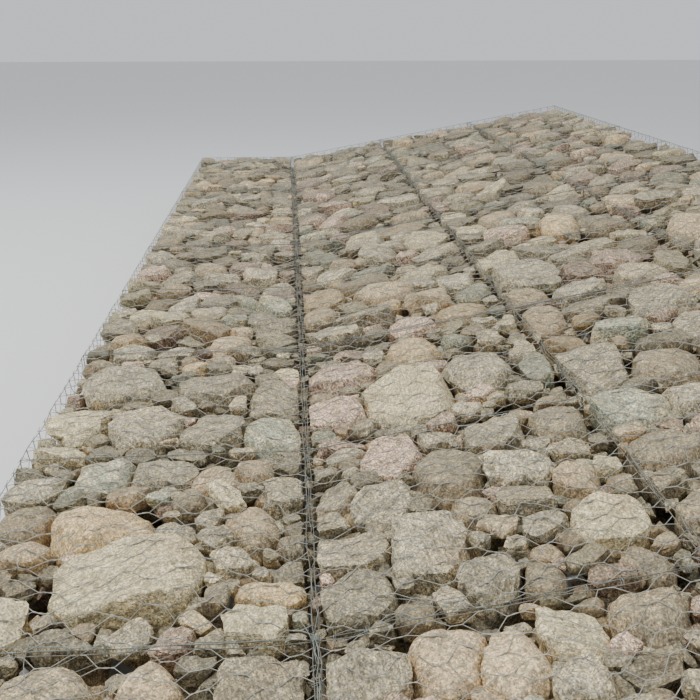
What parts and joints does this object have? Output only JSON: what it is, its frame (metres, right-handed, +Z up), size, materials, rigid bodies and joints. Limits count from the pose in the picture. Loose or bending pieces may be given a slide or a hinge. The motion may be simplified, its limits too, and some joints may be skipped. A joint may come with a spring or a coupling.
{
  "type": "gabion bank revetment",
  "caption": "Gabion bank revetment: a level toe row and three sloping rows of stone-filled wire baskets, laced together along their seams.",
  "frame": {"origin": "on the underside of the toe row, in the middle of its first cell", "axes": "+X across the rows and up the bank, +Y along the rows, +Z up"},
  "size_m": [4.0419, 10.0012, 1.0368],
  "materials": {
    "stone_fill": "quarried and river stone, grey, tan and pinkish, rough",
    "selvedge_wire": "galvanised edge wire, dull grey",
    "mesh_wire": "galvanised double-twisted mesh wire, dull grey",
    "lacing_wire": "galvanised lacing wire, dull grey"
  },
  "bodies": {
    "root": {"toe_fill_1": "stone_fill", "toe_fill_2": "stone_fill", "toe_fill_3": "stone_fill", "toe_fill_4": "stone_fill", "toe_fill_5": "stone_fill", "lower_fill_1": "stone_fill", "lower_fill_2": "stone_fill", "lower_fill_3": "stone_fill", "lower_fill_4": "stone_fill", "lower_fill_5": "stone_fill", "middle_fill_1": "stone_fill", "middle_fill_2": "stone_fill", "middle_fill_3": "stone_fill", "middle_fill_4": "stone_fill", "middle_fill_5": "stone_fill", "upper_fill_1": "stone_fill", "upper_fill_2": "stone_fill", "upper_fill_3": "stone_fill", "upper_fill_4": "stone_fill", "upper_fill_5": "stone_fill", "toe_frame_1": "selvedge_wire", "toe_frame_2": "selvedge_wire", "toe_frame_3": "selvedge_wire", "toe_frame_4": "selvedge_wire", "toe_frame_5": "selvedge_wire", "lower_frame_1": "selvedge_wire", "lower_frame_2": "selvedge_wire", "lower_frame_3": "selvedge_wire", "lower_frame_4": "selvedge_wire", "lower_frame_5": "selvedge_wire", "middle_frame_1": "selvedge_wire", "middle_frame_2": "selvedge_wire", "middle_frame_3": "selvedge_wire", "middle_frame_4": "selvedge_wire", "middle_frame_5": "selvedge_wire", "upper_frame_1": "selvedge_wire", "upper_frame_2": "selvedge_wire", "upper_frame_3": "selvedge_wire", "upper_frame_4": "selvedge_wire", "upper_frame_5": "selvedge_wire", "toe_end_mesh_near": "mesh_wire", "toe_end_mesh_far": "mesh_wire", "lacing_1": "lacing_wire", "lacing_2": "lacing_wire", "lacing_3": "lacing_wire", "lacing_4": "lacing_wire", "lacing_5": "lacing_wire"}
  },
  "joints": []
}
